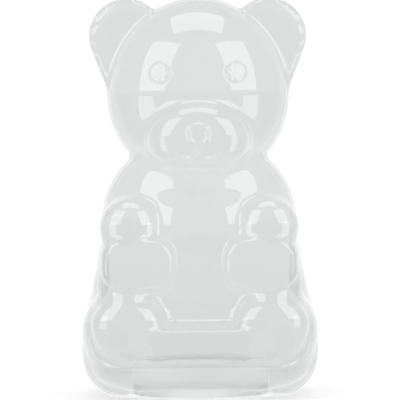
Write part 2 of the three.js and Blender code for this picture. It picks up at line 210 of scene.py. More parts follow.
class Finishes(bpy.types.PropertyGroup):
    """Tints of the materials, with painted shade and painted light on the shell's lower wall."""

    shell_tint: TintProperty(
        name="Shell tint", description="Tint of the clear shells", default=(0.875, 0.880, 0.880, 1.0))
    shell_haze: TintProperty(
        name="Shell haze", description="Tint where the clear wall runs a little thicker",
        default=(0.857, 0.864, 0.864, 1.0))
    # Painted shade: the wall below the seat line is tinted darker; the wall is no thicker there.
    base_painted_shade: TintProperty(
        name="Base tint", description="Tint of the thicker wall below the seat line",
        default=(0.845, 0.85, 0.85, 1.0))
    # Painted light: the base wall in front of the closure is tinted paler, to lift the shade on the closure
    # behind it.
    window_painted_light: TintProperty(
        name="Window tint", description="Tint of the base wall in front of the closure",
        default=(0.905, 0.91, 0.91, 1.0))
    # Painted light: the socket wall is tinted nearly clear, far paler than its slightly thinner wall would
    # make it, to lift the shade on the ring behind it.
    socket_painted_light: TintProperty(
        name="Socket tint", description="Tint of the thin socket wall round the mouth ring",
        default=(0.975, 0.98, 0.98, 1.0))
    lid_tint: TintProperty(
        name="Lid tint", description="Tint of the ring and the lid", default=(0.975, 0.98, 0.98, 1.0))
    lid_haze: TintProperty(
        name="Lid haze", description="Tint of the lid along its flow marks", default=(0.955, 0.96, 0.96, 1.0))
    seal_tint: TintProperty(
        name="Seal colour", description="Colour of the silicone seal", default=(0.86, 0.86, 0.84, 1.0))
    seal_haze: TintProperty(
        name="Seal shade", description="Colour of the seal in its duller patches",
        default=(0.80, 0.80, 0.785, 1.0))


class StageSettings(bpy.types.PropertyGroup):
    """Camera, lamps and floor."""

    distance: LengthProperty(
        name="Distance", description="Distance of the camera from the jar", default=1.5)
    frame_width: LengthProperty(name="Frame width", description="Width seen at the jar", default=0.1775)
    aim_height: LengthProperty(
        name="Aim height", description="Height that the camera looks at", default=0.0862)
    aim_right: LengthProperty(
        name="Aim right", description="Distance that the camera looks beside the axis", default=0.00044)
    elevation: AngleProperty(
        name="Elevation", description="Angle of the camera above the horizon", default=math.radians(2.0))
    roll: AngleProperty(
        name="Roll", description="Tilt of the camera about its view", default=math.radians(0.5))
    key_radiance: FloatProperty(
        name="Key lamps", description="Radiance of the two tall softboxes", default=1.5)
    low_radiance: FloatProperty(
        name="Low lamps", description="Radiance of the two low softboxes", default=1.25)
    top_radiance: FloatProperty(
        name="Top lamp", description="Radiance of the overhead softbox", default=1.35)
    front_grey: FloatProperty(
        name="Front grey", description="Brightness of the room on the camera's side", default=0.50)
    # Painted shade: the near floor seen through the jar glows this grey in place of its shadow.
    through_grey: FloatProperty(
        name="Through grey", description="Brightness of the near floor as seen through the jar", default=0.94)
    # Painted light: share of white glow mixed into the floor's shadow near the jar.
    shadow_light: FloatProperty(
        name="Shadow light", description="Share of light that the clear jar lets into its own shadow",
        default=0.5)


# Distances to the moulded skin.

def soft_min(a, b, width):
    """Smaller of two distances, blended over a width."""
    share = np.maximum(width - np.abs(a - b), 0.0) / width
    return np.minimum(a, b) - share * share * width / 4


def soft_max(a, b, width):
    """Larger of two distances, blended over a width."""
    return -soft_min(-a, -b, width)


def pillow(flat, deep, across, through, power):
    """Distance to a cushion shape that has flat 1 on its outline and deep 1 at its front and back."""
    level = (flat ** power + deep ** power) ** (1 / power)
    slope_flat = (flat / level) ** (power - 1) * across
    slope_deep = (deep / level) ** (power - 1) * through
    return (level - 1) / np.hypot(slope_flat, slope_deep)


def lump_distance(points, lump):
    """Distance to a cushion shape whose outline is a rounded oval."""
    offset = np.abs(points - np.array(lump.centre)) + TINY
    low = lump.low or lump.half[2]
    half_height = np.where(points[:, 2] < lump.centre[2], low, lump.half[2])
    wide = offset[:, 0] / lump.half[0]
    tall = offset[:, 2] / half_height
    flat = (wide ** lump.corner + tall ** lump.corner) ** (1 / lump.corner)
    slope_wide = (wide / flat) ** (lump.corner - 1) / lump.half[0]
    slope_tall = (tall / flat) ** (lump.corner - 1) / half_height
    deep = offset[:, 1] / lump.half[1]
    return pillow(flat, deep, np.hypot(slope_wide, slope_tall), 1 / lump.half[1], lump.power)


def limb_distance(points, limb):
    """Distance to the hull of two balls."""
    start = np.array(limb.start, float)
    axis = np.array(limb.end, float) - start
    length2 = axis @ axis
    shrink = limb.start_radius - limb.end_radius
    slant2 = length2 - shrink * shrink
    offset = points - start
    along = offset @ axis
    beyond = along - length2
    side2 = ((offset * length2 - along[:, None] * axis) ** 2).sum(axis=1)
    edge = np.sign(shrink) * shrink * shrink * side2
    flank = (np.sqrt(side2 * slant2 / length2) + along * shrink) / length2 - limb.start_radius
    start_ball = np.sqrt(side2 + along * along * length2) / length2 - limb.start_radius
    end_ball = np.sqrt(side2 + beyond * beyond * length2) / length2 - limb.end_radius
    flank = np.where(np.sign(along) * slant2 * along * along * length2 < edge, start_ball, flank)
    return np.where(np.sign(beyond) * slant2 * beyond * beyond * length2 > edge, end_ball, flank)


def block_distance(points, block):
    """Distance to a box with rounded edges that may widen towards the back."""
    offset = points - np.array(block.centre)
    spread = np.outer(block.flare * offset[:, 1], [1, 0, 1])
    past = np.abs(offset) - (np.array(block.half) - block.rounding + spread)
    outside = np.sqrt((np.maximum(past, 0) ** 2).sum(axis=1))
    return outside + np.minimum(past.max(axis=1), 0) - block.rounding


def ear_distance(points):
    """Distance to a flat ear with a rounded rim."""
    mean_radius = (EAR.start_radius + EAR.end_radius) / 2
    outline = limb_distance(points * np.array([1, 0, 1]), EAR)
    flat = np.maximum(1 + outline / mean_radius, 0) + TINY
    deep = np.abs(points[:, 1]) / EAR_HALF_DEPTH + TINY
    return pillow(flat, deep, 1 / mean_radius, 1 / EAR_HALF_DEPTH, EAR_POWER)


def arm_distance(points):
    """Distance to a short arm: a domed stub over a flat paw."""
    x, y, z = points.T
    round_stub = np.hypot(x - ARM_DOME.centre[0], z - ARM_DOME.centre[2]) - ARM_DOME.half[0]
    stub = np.maximum(round_stub, ARM_DOME.centre[1] - y)
    stub = soft_max(stub, y - ARM_ROOT_Y, ARM_ROOT_BLEND)
    paw = soft_max(block_distance(points, PAW), PAW_FACE_Y - y, BLEND)
    return soft_min(np.minimum(stub, lump_distance(points, ARM_DOME)), paw, BLEND)


def lap_distance(points):
    """Height over the sloping plane that trims the lap."""
    return points[:, 2] - LAP_Z - LAP_RISE * (points[:, 1] - LAP_Y)


def seat_distance(points):
    """Distance to the seat, hollowed a little along its underside."""
    arch = np.hypot(points[:, 0], points[:, 2] - ARCH_CENTRE_Z) - ARCH_RADIUS
    return soft_max(soft_max(block_distance(points, SEAT), lap_distance(points), BLEND), arch, BLEND)


def foot_distance(points):
    """Distance to the domed sole and the shelf between the soles."""
    shelf = soft_max(block_distance(points, SHELF), lap_distance(points), LAP_BLEND)
    return soft_min(shelf, lump_distance(points, FOOT), SHELF_BLEND)


def bear_skin(points):
    """Distance to the bear's skin, in millimetres, negative inside."""
    points = np.column_stack([np.abs(points[:, 0]), points[:, 1], points[:, 2]])
    chin = np.clip((MUZZLE.centre[2] - points[:, 2]) / MUZZLE.half[2], 0, 1)
    face = soft_min(lump_distance(points, HEAD), lump_distance(points, MUZZLE), BLEND + CHIN_BLEND * chin)
    face = soft_min(face, ear_distance(points), EAR_BLEND)
    lower = soft_min(limb_distance(points, HAUNCH), limb_distance(points, RUMP), BLEND)
    lower = soft_min(lower, seat_distance(points), BLEND)
    lower = soft_min(lower, lump_distance(points, THIGH), BLEND)
    lower = soft_min(lower, limb_distance(points, SHIN), BLEND)
    lower = soft_min(lower, foot_distance(points), FOOT_BLEND)
    body = soft_min(lump_distance(points, BELLY), lump_distance(points, YOKE), BLEND)
    body = soft_min(body, lump_distance(points, HIPS), HIP_BLEND)
    body = soft_min(body, lower, HIP_BLEND)
    body = soft_min(body, arm_distance(points), ARM_BLEND)
    return soft_max(soft_min(body, face, NECK_BLEND), -points[:, 2], TABLE_ROUND)


def skin_slope(points):
    """Direction in which the distance to the skin grows."""
    slope = np.empty_like(points)
    for axis in range(3):
        step = np.zeros(3)
        step[axis] = SLOPE_STEP
        slope[:, axis] = bear_skin(points + step) - bear_skin(points - step)
    return slope / (2 * SLOPE_STEP)


# Helpers for modelling.

def sizes():
    """Settings of the scene."""
    return bpy.context.scene.bear_jar


def deselect_all():
    """Leaves edit mode and drops every selection."""
    if bpy.context.object is not None and bpy.context.object.mode != "OBJECT":
        bpy.ops.object.mode_set(mode="OBJECT")
    bpy.ops.object.select_all(action="DESELECT")


def add_new(add, **settings):
    """Runs an operator that adds an object, and returns the object."""
    deselect_all()
    add(**settings)
    return bpy.context.object


def make_active(piece):
    """Selects one piece alone."""
    deselect_all()
    piece.select_set(True)
    bpy.context.view_layer.objects.active = piece


def edit_all(piece):
    """Opens a piece in edit mode with everything selected."""
    make_active(piece)
    bpy.ops.object.mode_set(mode="EDIT")
    bpy.ops.mesh.select_mode(type="VERT")
    bpy.ops.mesh.select_all(action="SELECT")


def close_edit():
    """Returns to object mode."""
    bpy.ops.object.mode_set(mode="OBJECT")


def edit(piece, operator, **settings):
    """Runs one edit operator on the whole of a piece."""
    edit_all(piece)
    operator(**settings)
    close_edit()


def apply_modifier(piece, kind, **settings):
    """Adds a modifier to a piece and applies it."""
    make_active(piece)
    modifier = piece.modifiers.new(kind.title(), kind)
    for name, value in settings.items():
        setattr(modifier, name, value)
    bpy.ops.object.modifier_apply(modifier=modifier.name)


def apply_place(piece):
    """Puts a piece's place, turn and scale into its mesh."""
    make_active(piece)
    bpy.ops.object.transform_apply(location=True, rotation=True, scale=True)


def rename(piece, name):
    """Names a piece and its mesh."""
    piece.name = name
    piece.data.name = name


def copy_piece(piece, name):
    """A copy of a piece with its own mesh."""
    make_active(piece)
    bpy.ops.object.duplicate()
    copy = bpy.context.object
    rename(copy, name)
    return copy


def join_pieces(pieces, name):
    """Joins several pieces into the first one."""
    make_active(pieces[0])
    for piece in pieces:
        piece.select_set(True)
    bpy.ops.object.join()
    rename(pieces[0], name)
    return pieces[0]


def boolean(piece, tool, operation):
    """Adds a tool to a piece or cuts it away, and deletes the tool."""
    apply_modifier(piece, "BOOLEAN", operation=operation, object=tool, solver="MANIFOLD")
    make_active(tool)
    bpy.ops.object.delete()


def select_faces(piece, chosen):
    """Opens a piece in edit mode with the chosen faces selected."""
    edit_all(piece)
    bpy.ops.mesh.select_mode(type="FACE")
    bpy.ops.mesh.select_all(action="DESELECT")
    close_edit()
    piece.data.polygons.foreach_set("select", chosen)
    bpy.ops.object.mode_set(mode="EDIT")


def select_open_edges():
    """Selects the open edges of the piece in edit mode."""
    bpy.ops.mesh.select_all(action="DESELECT")
    bpy.ops.mesh.select_non_manifold(
        extend=False, use_wire=False, use_boundary=True, use_multi_face=False, use_non_contiguous=False,
        use_verts=False)


def close_outward():
    """Turns all normals out and returns to object mode."""
    bpy.ops.mesh.select_all(action="SELECT")
    bpy.ops.mesh.normals_make_consistent(inside=False)
    close_edit()


def seam_y():
    """Depth of the seam plane in the frame."""
    return FRONT_HIGH.y + sizes().shell.seam_gap / 2


def in_frame(point):
    """A point in millimetres from the seam as a place in the frame."""
    return Vector((point[0] * MM, point[1] * MM + seam_y(), point[2] * MM))


def read_points(cells, name):
    """Places of a mesh's vertices or faces, in millimetres from the seam."""
    places = np.empty(len(cells) * 3)
    cells.foreach_get(name, places)
    return (places.reshape(-1, 3) - np.array([0, seam_y(), 0])) / MM


def write_points(piece, points):
    """Moves the vertices of a piece to points in millimetres from the seam."""
    places = points * MM + np.array([0, seam_y(), 0])
    piece.data.vertices.foreach_set("co", places.ravel())
    piece.data.update()


def finish_piece(piece, body, node, material, turned=False):
    """Smooths a piece, gives it its material and ties it to the frame. Flats of a turned piece stay flat."""
    make_active(piece)
    bpy.ops.object.shade_smooth_by_angle(angle=math.radians(35))
    if turned:
        apply_modifier(piece, "WEIGHTED_NORMAL", keep_sharp=True)
    piece.data.materials.clear()
    piece.data.materials.append(material)
    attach(piece, body)
    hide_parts(node)


# The blank of the bear, put together from balls, limbs and blocks.

def add_sphere(centre, radius):
    """A round ball, its radius in metres, at a place in the bear."""
    bpy.ops.mesh.primitive_uv_sphere_add(
        segments=32, ring_count=16, radius=radius, location=in_frame(centre))


def add_ball(centre, half):
    """A ball or an oval at a place in the bear."""
    ball = add_new(add_sphere, centre=centre, radius=1.0)
    bpy.ops.transform.resize(value=[size * MM for size in half])
    apply_place(ball)
    return ball


def on_side(point, side):
    """A point of the +X side, mirrored to the other side where side is -1."""
    return (point[0] * side, *point[1:])


def add_limb(limb, side):
    """Hull of two balls on one side of the bear."""
    piece = add_ball(on_side(limb.start, side), (limb.start_radius,) * 3)
    edit_all(piece)
    add_sphere(on_side(limb.end, side), limb.end_radius * MM)
    bpy.ops.mesh.select_all(action="SELECT")
    bpy.ops.mesh.convex_hull()
    close_edit()
    return piece


def add_block(block, side=1):
    """Box with rounded edges at a place in the bear."""
    centre = in_frame(on_side(block.centre, side))
    piece = add_new(bpy.ops.mesh.primitive_cube_add, size=2.0, location=centre)
    bpy.ops.transform.resize(value=[size * MM for size in block.half])
    apply_place(piece)
    edit(piece, bpy.ops.mesh.bevel, offset=BLANK_ROUNDING * block.rounding * MM, segments=4, affect="EDGES")
    return piece


def cut_below(piece, point, direction):
    """Cuts away what lies past a plane and closes the cut."""
    edit(
        piece, bpy.ops.mesh.bisect, plane_co=in_frame(point), plane_no=direction, use_fill=True,
        clear_outer=True, clear_inner=False)


def add_side(side):
    """Lumps on one side of the bear: ear, arm, paw and leg."""
    ear = add_limb(EAR, side)
    flatten = EAR_HALF_DEPTH / EAR.start_radius
    edit(ear, bpy.ops.transform.resize, value=(1, flatten, 1), center_override=in_frame(EAR.start))
    dome_x, _, dome_z = ARM_DOME.centre
    reach = ARM_DOME.half[0]
    arm = add_limb(Limb((dome_x, 0, dome_z), (dome_x, ARM_BLANK_Y, dome_z), reach, reach), side)
    paw = add_block(PAW, side)
    cut_below(paw, (0, PAW_FACE_Y, 0), (0, -1, 0))
    balls = [add_ball(on_side(lump.centre, side), lump.half) for lump in (THIGH, FOOT)]
    legs = [add_limb(limb, side) for limb in (HAUNCH, RUMP, SHIN)]
    return [ear, arm, paw, *balls, *legs]


def bear_blank():
    """Closed blank of the whole bear with even cells."""
    lumps = [add_ball(lump.centre, lump.half) for lump in (HEAD, MUZZLE, YOKE, BELLY, HIPS)]
    seat = add_block(SEAT)
    shelf = add_block(SHELF)
    cut_below(shelf, (0, LAP_Y, LAP_Z), (0, -LAP_RISE, 1))
    sides = add_side(-1) + add_side(1)
    blank = join_pieces([*lumps, seat, shelf, *sides], "jar_skin")
    apply_modifier(blank, "REMESH", mode="VOXEL", voxel_size=sizes().shell.cell)
    return blank


def settle(piece, depth, steps=SETTLE_STEPS):
    """Moves every vertex straight onto the surface at a depth under the skin."""
    points = read_points(piece.data.vertices, "co")
    for _ in range(steps):
        slope = skin_slope(points)
        steepness = np.maximum((slope ** 2).sum(axis=1), LEAST_STEEPNESS)
        points = points - slope * ((bear_skin(points) + depth) / steepness)[:, None]
    write_points(piece, points)


def relax(piece, rounds):
    """Evens out the cells of a piece on the skin."""
    for _ in range(rounds):
        edit(piece, bpy.ops.mesh.vertices_smooth, factor=0.5, repeat=3)
        settle(piece, 0.0, steps=2)


# Relief of the face.

def bump(distance, width):
    """One at distance 0, falling smoothly to nothing at a width."""
    share = np.clip(1 - np.abs(distance) / width, 0, 1)
    return share * share * (3 - 2 * share)


def ramp(distance, width):
    """Nothing at distance 0, rising evenly to one at a width."""
    return np.clip(distance / width, 0, 1)


def eye_relief(x, z):
    """Raised, finely pebbled eye with a ring pressed round it."""
    shell = sizes().shell
    radius = shell.eye_radius / MM
    across = np.abs(x) - EYE_X
    up = z - EYE_Z
    away = np.hypot(across, up)
    disc = ramp(radius - away, EYE_EDGE)
    ring = EYE_RING_DEPTH * bump(away - radius - EYE_RING_OUT, EYE_RING_WIDTH)
    pebbles = 0.0
    for turn in (0, math.pi / 3, 2 * math.pi / 3):
        pebbles = pebbles + np.cos(EYE_GRAIN * (across * math.cos(turn) + up * math.sin(turn)))
    return disc * (shell.eye_rise / MM + PEBBLE_RISE * pebbles) - ring


def nose_relief(x, z):
    """Raised, nearly round nose, dished inside its rim."""
    rise = sizes().shell.nose_rise / MM
    up = z - NOSE_Z
    outline = np.hypot(x, up) - NOSE_RADIUS - NOSE_CORNER * np.sin(3 * np.arctan2(up, x))
    rim = bump(outline, NOSE_RIM)
    return rise * np.where(outline < 0, np.maximum(rim, NOSE_DISH), rim)


def smile_relief(x, z):
    """Raised smile of two arcs that hang from a short line under the nose."""
    rise = sizes().shell.smile_rise / MM
    aside = np.abs(x)
    arc = SMILE_Z - SMILE_SAG * np.sin(math.pi * ramp(aside, SMILE_HALF))
    smile = bump(z - arc, SMILE_WIDTH) * ramp(SMILE_HALF + SMILE_FADE / 2 - aside, SMILE_FADE)
    line = bump(x, SMILE_WIDTH) * ramp(LINE_TOP - z, LINE_FADE) * ramp(z - LINE_FOOT, LINE_FADE)
    return rise * np.maximum(smile, line)


def from_seat_line(x, z):
    """Distance from the line that runs across the seat and turns up at both ends."""
    past_side = np.maximum(np.abs(x) - SEAT_LINE_X + SEAT_LINE_TURN, 0)
    past_foot = np.maximum(SEAT_LINE_Z + SEAT_LINE_TURN - z, 0)
    return np.hypot(past_side, past_foot) - SEAT_LINE_TURN


def seat_relief(x, z):
    """Fine raised line round the seat, faded out at its upper ends."""
    rise = sizes().shell.seat_line_rise / MM
    return rise * bump(from_seat_line(x, z), SEAT_LINE_WIDTH) * ramp(SEAT_LINE_TOP - z, SEAT_LINE_FADE)


def face_relief(points):
    """Height of eyes, nose, smile and seat line over the skin."""
    x, y, z = points.T
    height = eye_relief(x, z) + nose_relief(x, z) + smile_relief(x, z) + seat_relief(x, z)
    return np.where(y < RELIEF_Y, height, 0.0)


def refine_face(piece):
    """Finer cells where the face has relief."""
    for margin in FINE_MARGINS:
        x, y, z = read_points(piece.data.polygons, "center").T
        aside = np.abs(x)
        eyes = np.hypot(aside - EYE_X, z - EYE_Z) < sizes().shell.eye_radius / MM + margin
        nose = (aside < NOSE_REACH + margin) & (np.abs(z - NOSE_Z) < NOSE_REACH + margin)
        smile = (aside < SMILE_REACH_X + margin) & (np.abs(z - SMILE_MIDDLE_Z) < SMILE_REACH_Z + margin)
        line = (np.abs(from_seat_line(x, z)) < SEAT_LINE_WIDTH + margin) & (z < SEAT_LINE_TOP)
        select_faces(piece, (eyes | nose | smile | line) & (y < RELIEF_Y))
        bpy.ops.mesh.subdivide(number_cuts=1, smoothness=0, ngon=False)
        close_edit()


def raise_face(piece, outer_points):
    """Lifts the face relief off a wall, along the skin's own slope."""
    slope = skin_slope(outer_points)
    slope /= np.sqrt((slope ** 2).sum(axis=1))[:, None]
    lifted = read_points(piece.data.vertices, "co") + slope * face_relief(outer_points)[:, None]
    write_points(piece, lifted)


# Pieces turned about the lid's axis.

def spin_profile(name, profile):
    """Ring or disc spun from a closed profile of radius and height."""
    radius, height = profile[0]
    piece = add_new(bpy.ops.mesh.primitive_plane_add, size=MM, location=(radius, 0, height))
    rename(piece, name)
    apply_place(piece)
    edit_all(piece)
    bpy.ops.mesh.merge(type="CENTER")
    for start, end in zip(profile, [*profile[1:], profile[0]]):
        step = (end[0] - start[0], 0, end[1] - start[1])
        bpy.ops.mesh.extrude_vertices_move(TRANSFORM_OT_translate={"value": step})
    merge_close()
    bpy.ops.mesh.spin(steps=ROUND_STEPS, angle=math.tau, center=(0, 0, 0), axis=(0, 0, 1))
    merge_close()
    close_outward()
    return piece


def merge_close():
    """Merges the vertices that lie on each other, and leaves everything selected."""
    bpy.ops.mesh.select_all(action="SELECT")
    bpy.ops.mesh.remove_doubles(threshold=MERGE_REACH)
    bpy.ops.mesh.select_all(action="SELECT")


def round_edges(piece, width, segments=3):
    """Rounds the sharp edges of a piece."""
    apply_modifier(
        piece, "BEVEL", width=width, segments=segments, limit_method="ANGLE", angle_limit=math.radians(40))


def add_thread(piece, root, crest, height):
    """Adds the thread ridges to a turned piece, from a root radius to a crest radius."""
    closure = sizes().closure
    ridge = thread_ridge(root, crest, height)
    for start in range(1, closure.thread_starts):
        copy = copy_piece(ridge, "thread_ridge_copy")
        bpy.ops.transform.rotate(
            value=math.tau * start / closure.thread_starts, orient_axis="Z", center_override=(0, 0, 0))
        apply_place(copy)
        boolean(piece, copy, "UNION")
    boolean(piece, ridge, "UNION")


def thread_ridge(root, crest, height):
    """One ridge of the thread, swept up a helix and faded out at its ends."""
    closure = sizes().closure
    ridge = add_new(bpy.ops.mesh.primitive_plane_add, size=MM, location=(root, 0, height))
    ridge.name = "thread_ridge"
    apply_place(ridge)
    half_root = closure.thread_root / 2
    half_crest = closure.thread_crest / 2
    corners = [(root, -half_root), (crest, -half_crest), (crest, half_crest), (root, half_root)]
    for index, (radius, rise) in zip(ridge.data.polygons[0].vertices, corners):
        ridge.data.vertices[index].co = (radius, 0, height + rise)
    select_faces(ridge, [True])
    bpy.ops.mesh.delete(type="ONLY_FACE")
    close_edit()
    rise = closure.thread_lead * closure.thread_sweep / math.tau
    apply_modifier(
        ridge, "SCREW", angle=closure.thread_sweep, screw_offset=rise, steps=THREAD_STEPS,
        render_steps=THREAD_STEPS, use_merge_vertices=False)
    fade_ends(ridge, root)
    edit_all(ridge)
    select_open_edges()
    bpy.ops.mesh.edge_face_add()
    close_outward()
    return ridge


def fade_ends(ridge, root):
    """Lowers a ridge nearly to its root over the last few degrees at each end."""
    sweep = sizes().closure.thread_sweep
    fade_angle = math.radians(9)
    least_share = 0.08
    for vertex in ridge.data.vertices:
        turn = abs(math.atan2(vertex.co.y, vertex.co.x))
        share = min(turn, sweep - turn) / fade_angle
        share = min(max(share, least_share), 1.0)
        radius = math.hypot(vertex.co.x, vertex.co.y)
        faded = root + (radius - root) * share
        vertex.co.x *= faded / radius
        vertex.co.y *= faded / radius


# Materials.

def feed(socket, value):
    """Links an output to an input, or sets the input to a plain value."""
    if isinstance(value, bpy.types.NodeSocket):
        socket.id_data.links.new(value, socket)
    else:
        socket.default_value = value


def set_inputs(node, **values):
    """Feeds a node's inputs by name."""
    for name, value in values.items():
        feed(node.inputs[name.replace("_", " ")], value)


def add_node(tree, kind, **values):
    """Adds a node and feeds its inputs by name."""
    node = tree.nodes.new(kind)
    set_inputs(node, **values)
    return node


def add_math(tree, kind, operation, values):
    """Adds a math node and feeds its inputs in order."""
    node = tree.nodes.new(kind)
    node.operation = operation
    for socket, value in zip(node.inputs, values):
        feed(socket, value)
    return node


def calculate(tree, operation, *values, clamp=False):
    """Output of a math node, kept within 0 and 1 where clamp is set."""
    node = add_math(tree, "ShaderNodeMath", operation, values)
    node.use_clamp = clamp
    return node.outputs["Value"]


def vector_math(tree, operation, *values):
    """Vector math node."""
    return add_math(tree, "ShaderNodeVectorMath", operation, values)


def larger(tree, first, second):
    """Output that carries the larger of two values."""
    return calculate(tree, "MAXIMUM", first, second, clamp=True)


def product(tree, first, second):
    """Output that carries the product of two values."""
    return calculate(tree, "MULTIPLY", first, second)


def fade(tree, value, start, end, first, last):
    """Output that runs from a first to a last level while a value runs from start to end."""
    node = add_node(
        tree, "ShaderNodeMapRange", Value=value, From_Min=start, From_Max=end, To_Min=first, To_Max=last)
    node.interpolation_type = "SMOOTHSTEP"
    return node.outputs["Result"]


def mix_tints(tree, share, first, second):
    """Output of two colours, mixed by a share of the second."""
    mix = tree.nodes.new("ShaderNodeMix")
    mix.data_type = "RGBA"
    set_inputs(mix, Factor=share, A=first, B=second)
    return mix.outputs["Result"]


def mix_shaders(tree, share, first, second):
    """Output of two shaders, mixed by a share of the second."""
    mix = tree.nodes.new("ShaderNodeMixShader")
    for socket, value in zip(mix.inputs, (share, first, second)):
        feed(socket, value)
    return mix.outputs["Shader"]


def moulding_marks():
    """Shader group: faint flow clouds and ripples that moulding leaves in a wall."""
    if "moulding_marks" in bpy.data.node_groups:
        return bpy.data.node_groups["moulding_marks"]
    group = bpy.data.node_groups.new("moulding_marks", "ShaderNodeTree")
    sockets = {
        "INPUT": {"Clear": "Color", "Haze": "Color", "Gloss": "Float", "Smudge": "Float", "Scale": "Float"},
        "OUTPUT": {"Tint": "Color", "Roughness": "Float", "Ripple": "Float"}}
    for way, kinds in sockets.items():
        for name, kind in kinds.items():
            group.interface.new_socket(name, in_out=way, socket_type="NodeSocket" + kind)
    given = group.nodes.new("NodeGroupInput").outputs
    place = group.nodes.new("ShaderNodeTexCoord").outputs["Object"]
    stretch = add_node(group, "ShaderNodeMapping", Vector=place, Scale=(1.0, 1.0, 0.45)).outputs["Vector"]
    cloud = add_node(
        group, "ShaderNodeTexNoise", Vector=stretch, Scale=given["Scale"], Detail=2.0, Roughness=0.5,
        Distortion=0.3).outputs["Fac"]
    smear = add_node(
        group, "ShaderNodeTexNoise", Vector=stretch, Scale=product(group, given["Scale"], SMEAR_FINENESS),
        Detail=3.0, Roughness=0.55, Distortion=0.6).outputs["Fac"]
    spread = add_node(group, "ShaderNodeMapRange", Value=smear, From_Min=0.35, From_Max=0.75)
    add_node(
        group, "NodeGroupOutput", Tint=mix_tints(group, cloud, given["Clear"], given["Haze"]), Ripple=cloud,
        Roughness=calculate(group, "MULTIPLY_ADD", spread.outputs["Result"], given["Smudge"], given["Gloss"]))
    return group


def moulded_material(name, clear, haze, gloss, smudge, scale, ripple):
    """Material whose tint, gloss and surface follow the moulding marks."""
    material = bpy.data.materials.new(name)
    material.use_nodes = True
    tree = material.node_tree
    shader = tree.nodes["Principled BSDF"]
    group = tree.nodes.new("ShaderNodeGroup")
    group.node_tree = moulding_marks()
    set_inputs(group, Clear=clear, Haze=haze, Gloss=gloss, Smudge=smudge, Scale=scale)
    marks = group.outputs
    wave = add_node(tree, "ShaderNodeBump", Strength=0.5, Distance=ripple, Height=marks["Ripple"])
    set_inputs(
        shader, Base_Color=marks["Tint"], Roughness=marks["Roughness"], Normal=wave.outputs["Normal"])
    return material, shader


def clear_plastic():
    """Polished clear plastic of the shells, which mirrors on the air side of its wall. Its lower wall is
    tinted darker as painted shade, and paler as painted light in front of the closure and on the socket.
    """
    if "clear_plastic_shell" in bpy.data.materials:
        return bpy.data.materials["clear_plastic_shell"]
    finish = sizes().finish
    material, shader = moulded_material(
        "clear_plastic_shell", finish.shell_tint, finish.shell_haze, gloss=0.015, smudge=0.03, scale=38.0,
        ripple=0.00006)
    tree = material.node_tree
    facing = tree.nodes.new("ShaderNodeNewGeometry").outputs
    base, window, socket = wall_masks(tree)
    air_side = calculate(tree, "SUBTRACT", 1.0, facing["Backfacing"])
    mirror = calculate(tree, "SUBTRACT", air_side, socket, clamp=True)
    set_inputs(
        shader, IOR=1.002, Transmission_Weight=1.0, Coat_IOR=1.75, Coat_Roughness=0.03, Coat_Weight=mirror)
    # Painted shade: the wall below the seat line is tinted darker.
    retint(tree, shader, base, finish.base_painted_shade)
    # Painted light: paler wall in front of the closure, lifting the shade on the closure behind it.
    retint(tree, shader, window, finish.window_painted_light)
    # Painted light: the socket wall is tinted nearly clear to lift the shade on the ring behind it.
    retint(tree, shader, socket, finish.socket_painted_light)
    return material


def retint(tree, shader, mask, tint):
    """Lays a tint over a material's colour where a mask is one."""
    under = shader.inputs["Base Color"].links[0].from_socket
    set_inputs(shader, Base_Color=mix_tints(tree, mask, under, tint))


def wall_masks(tree):
    """Outputs that are one below the seat line, there in front of the closure, and on the ring's socket:
    where the wall takes painted shade and painted light.
    """
    shell = sizes().shell
    socket_radius = RING_HIGH.x + sizes().closure.fit + 1.1 * shell.socket_wall
    socket_top = shell.socket_top + 0.1 * MM
    seat_line = SEAT_LINE_Z * MM
    seat_soft, window_soft, socket_soft = 0.5 * MM, 0.5 * MM, 0.2 * MM
    place = tree.nodes.new("ShaderNodeTexCoord").outputs["Object"]
    x, _, z = add_node(tree, "ShaderNodeSeparateXYZ", Vector=place).outputs
    level = vector_math(tree, "MULTIPLY", place, (1, 1, 0)).outputs["Vector"]
    away = vector_math(tree, "LENGTH", level).outputs["Value"]
    base = fade(tree, z, seat_line - seat_soft, seat_line + seat_soft, 1.0, 0.0)
    aside = calculate(tree, "ABSOLUTE", x)
    ahead = fade(tree, aside, RING_HIGH.x - window_soft, RING_HIGH.x, 1.0, 0.0)
    low = fade(tree, z, socket_top, socket_top + socket_soft, 1.0, 0.0)
    near = fade(tree, away, socket_radius, socket_radius + socket_soft, 1.0, 0.0)
    return base, product(tree, base, ahead), product(tree, near, low)


def lid_plastic():
    """Milky plastic of the ring and the lid."""
    if "milky_plastic_lid" in bpy.data.materials:
        return bpy.data.materials["milky_plastic_lid"]
    finish = sizes().finish
    material, shader = moulded_material(
        "milky_plastic_lid", finish.lid_tint, finish.lid_haze, gloss=0.30, smudge=0.15, scale=70.0,
        ripple=0.00004)
    set_inputs(shader, IOR=1.49, Subsurface_Weight=0.5, Subsurface_Radius=(0.004, 0.004, 0.004))
    return material


def seal_silicone():
    """Soft translucent white silicone."""
    finish = sizes().finish
    material, shader = moulded_material(
        "seal_silicone_soft", finish.seal_tint, finish.seal_haze, gloss=0.45, smudge=0.2, scale=160.0,
        ripple=0.00005)
    set_inputs(shader, IOR=1.41, Subsurface_Weight=0.4, Subsurface_Radius=(0.002, 0.002, 0.002))
    return material


# Operators, one for each piece or pair of pieces.

